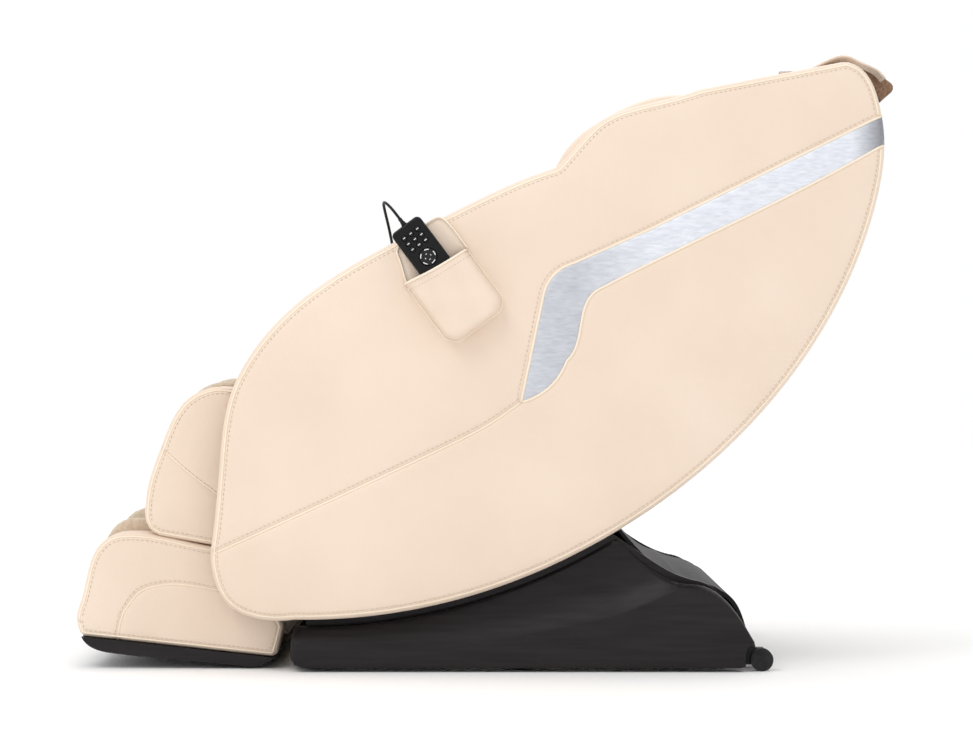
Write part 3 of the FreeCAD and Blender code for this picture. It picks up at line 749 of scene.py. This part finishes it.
def lined(name, node_loop, grow, span, body, *replaced):
    """A fabric-lined inner pad: an outline raised at its top by grow, between two y values."""
    loop = node_loop.copy()
    middle = loop[:, 1].mean()
    loop[:, 1] += grow * np.clip((loop[:, 1] - middle) / (loop[:, 1].max() - middle), 0, 1)
    thick = span[1] - span[0]
    pad = Pad(loop, edge=min(0.012, thick * 0.45), crown=0.0, reach=0.05, welt=0)
    return padded(name, pad, lambda u, v, d: np.column_stack([u, span[0] + d, v]), thick, body,
                  "taupe_fabric", *replaced, both=True, step=0.014, fill=0.5)


def leg_linings():
    calf = resample(cap_outline("calf_side_left", -0.29), 0.008)
    foot = resample(cap_outline("foot_side_left", -0.29), 0.008)
    calf = calf[calf[:, 0] < 1]
    inner_calf = calf * np.array([0.985, 1]) + np.array([-0.008, 0])
    lined("calf_divider_pad", inner_calf, 0.017, (-0.04, 0.04), "leg", "calf_lining")
    inner_foot = foot * np.array([0.96, 0.94]) + np.array([-0.024, 0.012])
    lined("foot_divider_pad", inner_foot, 0.034, (-0.038, 0.038), "foot", "foot_lining")
    for side, word in SIDES:
        span = sorted((side * 0.2035, side * 0.186))
        lined("calf_inner_pad_" + word, inner_calf, 0.012, span, "leg")
        lined("foot_inner_pad_" + word, inner_foot, 0.026, span, "foot")
    wall = resample([(-0.186, 0.24), (0.186, 0.24), (0.186, 0.478), (-0.186, 0.478)], 0.008)
    seams = [(np.array([(y, 0.25), (y, 0.47)]), 0.003, 0.004) for y in (-0.12, 0.12)]
    padded("calf_back_pad", Pad(wall, edge=0.006, crown=0.003, reach=0.04, seams=seams, welt=0),
           lambda u, v, d: np.column_stack([-0.524 + d, u, v]), 0.014, "leg", "taupe_fabric", step=0.014,
           fill=0.5)
    bed = resample([(-0.755, -0.186), (-0.452, -0.186), (-0.452, 0.186), (-0.755, 0.186)], 0.008)

    def rise(u):
        return 0.033 + (-0.452 - u) * 0.118 + np.clip(-0.70 - u, 0, 1) * 0.3

    padded("foot_bed_pad", Pad(bed, edge=0.005, crown=0.003, reach=0.04, welt=0),
           lambda u, v, d: np.column_stack([u, v, rise(u) + 0.010 - d]), 0.012, "foot", "taupe_fabric",
           step=0.014, fill=0.5)
    heel = resample([(-0.186, 0.05), (0.186, 0.05), (0.186, 0.205), (-0.186, 0.205)], 0.008)
    padded("heel_pad", Pad(heel, edge=0.005, crown=0.002, reach=0.04, welt=0),
           lambda u, v, d: np.column_stack([-0.437 - (v - 0.075) * 0.505 - 0.012 + d, u, v]), 0.013, "foot",
           "taupe_fabric", step=0.014, fill=0.5)


def slide_bars():
    """The two bars on which the foot part runs out of the calf part."""
    for side, word in SIDES:
        line = np.array([(-0.4935, side * 0.175, 0.19), (-0.4935, side * 0.175, 0.436)])
        tube("slide_bar_" + word, line, 0.0055, "foot", "steel")


def sole():
    obj = NODES["sole_plate"]
    rounding = obj.modifiers.new("edge", "BEVEL")
    rounding.width = 0.003
    rounding.segments = 2
    rounding.limit_method = "ANGLE"


# ---- base ---------------------------------------------------------------------------------------
# The crease along a base cover, in side view.
CREASE = [(-0.410, 0.051), (-0.233, 0.0528), (-0.0475, 0.0615), (0.0749, 0.0808), (0.1659, 0.1018),
          (0.2271, 0.1262), (0.2586, 0.1402), (0.2831, 0.1437), (0.3198, 0.135), (0.3513, 0.121),
          (0.381, 0.0895), (0.4055, 0.0563)]


def base_covers():
    """Moulded side covers with a scooped upper face above a raised crease."""
    crease = smooth(CREASE, 0.006)

    def scoop(points):
        above = np.clip(points[:, 1] - np.interp(points[:, 0], crease[:, 0], crease[:, 1]), 0, 1)
        return 0.038 * (1 - np.exp(-(above / 0.045) ** 1.2)) + 0.002 * (1 - np.exp(-above / 0.004))

    for side, word in SIDES:
        name = "base_cover_" + word
        outer = max(abs(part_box(name)[0][1]), abs(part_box(name)[1][1]))
        loop = resample(cap_outline(name, side * outer), LINE_STEP)
        inner_crease = crease[inside(crease, loop) & (distance(crease, loop) > 0.004)]
        pad = Pad(loop, edge=0.006, crown=0.0, reach=0.05, seams=[(inner_crease, 0.0, 0.003)], welt=0,
                  extra=scoop, ripple=0)
        flat, faces, _ = triangulate(pad, 0.012, [])
        place = side_place(side, outer)
        count = len(flat)
        outer_side = place(flat[:, 0], flat[:, 1], pad.depth(flat))
        inner_side = place(flat[:, 0], flat[:, 1], np.full(count, 0.0429))
        solid = list(faces) + [[i + count for i in reversed(f)] for f in faces]
        solid += [[b, a, a + count, b + count] for a, b in rim(faces)]
        obj = mesh_object(name + "_shell", np.vstack([outer_side, inner_side]), solid, "dark_plastic")
        link(obj, "base", "dark_plastic", name)


# ---- pocket and handset -------------------------------------------------------------------------
TOP = np.array((-0.207, 0.78))
ACROSS = np.array((0.8, 0.6))
UP = np.array((-0.6, 0.8))
SHELL_LOW, SHELL_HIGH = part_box("handset_shell")
SHELL_FRONT = SHELL_LOW[1]


def lean(u, v, y):
    """Points of the leaning handset's own plane, in the row frame: u across, v up, y as given."""
    u, v, y = np.broadcast_arrays(np.asarray(u, float), v, y)
    flat = TOP + u[..., None] * ACROSS + v[..., None] * UP
    return np.column_stack([flat[..., 0].ravel(), y.ravel(), flat[..., 1].ravel()])


def pouch():
    """Leather pouch bulging from the panel, open at its top edge, with its backing and strap."""
    half, low, high = 0.061, -0.218, -0.09
    across = np.linspace(-1, 1, 33)
    down = np.sin(np.linspace(0, math.pi / 2, 33))
    u, w = np.meshgrid(across, down)
    corner = np.sqrt(1 - 0.5 * np.clip((w - 0.8) / 0.2, 0, 1) ** 2)
    bulge = (1 - np.abs(u) ** 7) ** 0.4 * (1 - w ** 24) ** 0.25
    sag = 0.0015 * np.sin(u * 7 + w * 4) + 0.001 * np.cos(w * 11 - u * 3)
    v = high + (low - high) * w - 0.003 * np.cos(u * math.pi / 2) * (1 - w) - 0.008 * u * (1 - w)
    y = -(OUTER - 0.002) - 0.036 * bulge - sag * bulge
    verts = lean((u * half * corner).ravel(), v.ravel(), y.ravel())
    columns = len(across)
    faces = [(r * columns + c, r * columns + c + 1, (r + 1) * columns + c + 1, (r + 1) * columns + c)
             for r in range(len(down) - 1) for c in range(columns - 1)]
    obj = mesh_object("pocket_pouch", verts, faces, "cream_leather")
    shell = obj.modifiers.new("leather", "SOLIDIFY")
    shell.thickness = 0.0022
    shell.offset = -1
    soften = obj.modifiers.new("soften", "SUBSURF")
    soften.levels = soften.render_levels = 1
    link(obj, "seat", "cream_leather", "handset_pocket")
    tube("pocket_mouth_welt", verts[:columns], 0.0022, "seat", "cream_leather", "cream_piping")
    rim_line = np.vstack([verts[columns::columns], verts[-columns:], verts[::-1][columns::columns]])
    tube("pocket_rim_welt", rim_line, 0.0017, "seat", "cream_leather", "cream_piping")
    stitches("pocket_stitches", [verts[columns * 2:columns * 3]], "seat", pitch=0.006, size=0.0038)
    back = smooth([(-0.059, -0.10), (-0.057, -0.083), (-0.045, -0.05), (-0.034, -0.025), (0.0, -0.021),
                   (0.045, -0.021), (0.060, -0.030), (0.0635, -0.06), (0.063, -0.10)], 0.004)
    pad = Pad(back, edge=0.002, crown=0, welt=0.004, ripple=0.0006)
    padded("pocket_backing", pad, lambda a, b, d: lean(a, b, -(OUTER + 0.0015) + d), 0.012, "seat",
           "cream_leather", step=0.008, fill=0.2)
    tube("pocket_backing_welt", lean(back[1:-1, 0], back[1:-1, 1], -(OUTER + 0.001)), 0.0018, "seat",
         "cream_leather", "cream_piping")


def rounded(half, low, high, radius, steps=8):
    """Rounded rectangle outline."""
    points = []
    for cx, cz, start in ((half, high, 0), (-half, high, 90), (-half, low, 180), (half, low, 270)):
        centre = (cx - math.copysign(radius, cx), cz - radius if cz == high else cz + radius)
        for k in range(steps + 1):
            turn = math.radians(start + 90 * k / steps)
            points.append((centre[0] + radius * math.cos(turn), centre[1] + radius * math.sin(turn)))
    return np.array(points)


def handset():
    length = 0.2135
    loop = rounded(0.03, -length, 0, 0.009)
    wells = [(0, -0.069, 0.0153)]
    wells += [(column * 0.014, -0.019 - line * 0.012, 0.0048) for column in (-1, 0, 1) for line in range(3)]
    turns = np.linspace(0, math.tau, 48, endpoint=False)
    cuts = [np.column_stack([u + (radius + gap) * np.cos(turns), v + (radius + gap) * np.sin(turns)])
            for u, v, radius in wells for gap in (0, 0.0005)]

    def sunk(points):
        return sum(0.0034 * (np.hypot(points[:, 0] - u, points[:, 1] - v) < radius + 0.0002)
                   for u, v, radius in wells)

    pad = Pad(loop, edge=0.004, crown=0.0, reach=0.02, welt=0, extra=sunk, ripple=0)
    flat, faces, _ = triangulate(pad, 0.0025, cuts)
    count = len(flat)
    depth = pad.depth(flat)
    front = lean(flat[:, 0], flat[:, 1], SHELL_FRONT + depth)
    back = lean(flat[:, 0], flat[:, 1], SHELL_FRONT + 0.02 - depth + sunk(flat))
    solid = list(faces) + [[i + count for i in reversed(f)] for f in faces]
    solid += [[b, a, a + count, b + count] for a, b in rim(faces)]
    body = mesh_object("handset_body", np.vstack([front, back]), solid, "gloss_black")
    link(body, "handset", "gloss_black", "handset_shell")
    relief_base = lean(0, -0.002, SHELL_FRONT + 0.01)[0]
    relief = [(0.0055, 0), (0.0055, 0.004), (0.0042, 0.0045), (0.0042, 0.008), (0.0034, 0.0085),
              (0.0034, 0.016)]
    turned("handset_relief", relief, relief_base, (-0.6, 0, 0.8), "handset", "gloss_black",
           material="cord_rubber")
    for number in range(1, 10):
        low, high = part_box("key_%d" % number)
        spot = Vector(((low[0] + high[0]) / 2, low[1], (low[2] + high[2]) / 2))
        node = "key_%d" % number
        profile = [(0.0026, 0), (0.0038, 0.0003), (0.0045, 0.0011), (0.0045, 0.0033)]
        turned("key_cap_%d" % number, profile, spot, (0, 1, 0), node, "grey_key", node)
        dash = [spot + Vector(end) for end in ((-0.0018, -0.0003, -0.0014), (0.0018, -0.0003, 0.0014))]
        tube("key_mark_%d" % number, np.array(dash), 0.0008, node, "grey_key", "key_mark")
    low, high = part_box("direction_ring")
    centre = Vector(((low[0] + high[0]) / 2, low[1], (low[2] + high[2]) / 2))
    profile = [(0.0045, 0.0008), (0.0055, 0.0002), (0.0125, 0), (0.0145, 0.0006), (0.015, 0.0033)]
    turned("direction_ring_cap", profile, centre, (0, 1, 0), "direction_ring", "grey_key", "direction_ring",
           sides=56)
    for k in range(5):
        angles = np.radians(np.linspace(k * 72 + 14, k * 72 + 50, 9))
        arc = np.column_stack([centre.x + 0.0128 * np.cos(angles), np.full(9, centre.y - 0.0002),
                               centre.z + 0.0128 * np.sin(angles)])
        tube("ring_mark_%d" % k, arc, 0.0009, "direction_ring", "grey_key", "key_mark")
    for k in range(4):
        turn = math.radians(k * 90 + 37)
        spot = centre + Vector((0.0055 * math.cos(turn), 0.0002, 0.0055 * math.sin(turn)))
        run = Vector((-math.sin(turn), 0, math.cos(turn))) * 0.0013
        tube("arrow_mark_%d" % k, np.array([spot - run, spot + run]), 0.0007, "direction_ring", "grey_key",
             "key_mark")


def gland():
    low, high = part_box("cord_gland")
    spot = ((low[0] + high[0]) / 2, low[1], (low[2] + high[2]) / 2)
    profile = [(0.009, 0), (0.009, 0.0012), (0.006, 0.0024), (0.0035, 0.003)]
    turned("cord_gland_bush", profile, spot, (0, 1, 0), "seat", "black_plastic", "cord_gland")


# ---- studio -------------------------------------------------------------------------------------
def studio():
    mesh = bpy.data.meshes.new("floor")
    mesh.from_pydata([(-12, -9, 0), (12, -9, 0), (12, 14, 0), (-12, 14, 0)], [], [(0, 1, 2, 3)])
    floor = bpy.data.objects.new("floor", mesh)
    bpy.context.scene.collection.objects.link(floor)
    paper = Shader("paper", 0.9)
    paper.colours(paper.noise(3), (0.997, 0.997, 0.997), (1.0, 1.0, 1.0))
    floor.data.materials.append(paper.material)
    world = bpy.data.worlds.new("studio")
    bpy.context.scene.world = world
    world.use_nodes = True
    world.node_tree.nodes["Background"].inputs["Color"].default_value = (1, 1, 1, 1)
    world.node_tree.nodes["Background"].inputs["Strength"].default_value = 1.0
    for name, place, size, power in (("key", (-2.4, -2.8, 4.4), 2.0, 62), ("fill", (3.2, -3.4, 3.0), 2.4, 2),
                                     ("back", (0.5, 3.2, 4.2), 3.0, 45)):
        lamp = bpy.data.objects.new(name, bpy.data.lights.new(name, "AREA"))
        bpy.context.scene.collection.objects.link(lamp)
        lamp.data.size = size
        lamp.data.energy = power
        lamp.location = place
        lamp.rotation_euler = (Vector((0, 0, 0.5)) - Vector(place)).to_track_quat("-Z", "Y").to_euler()
    bpy.context.scene.view_settings.view_transform = "Standard"


camera()
cord()
paint_nodes()
side_panels()
inner_pads()
seat_cushions()
head_strap()
leg_pads()
leg_linings()
slide_bars()
sole()
base_covers()
pouch()
handset()
gland()
studio()
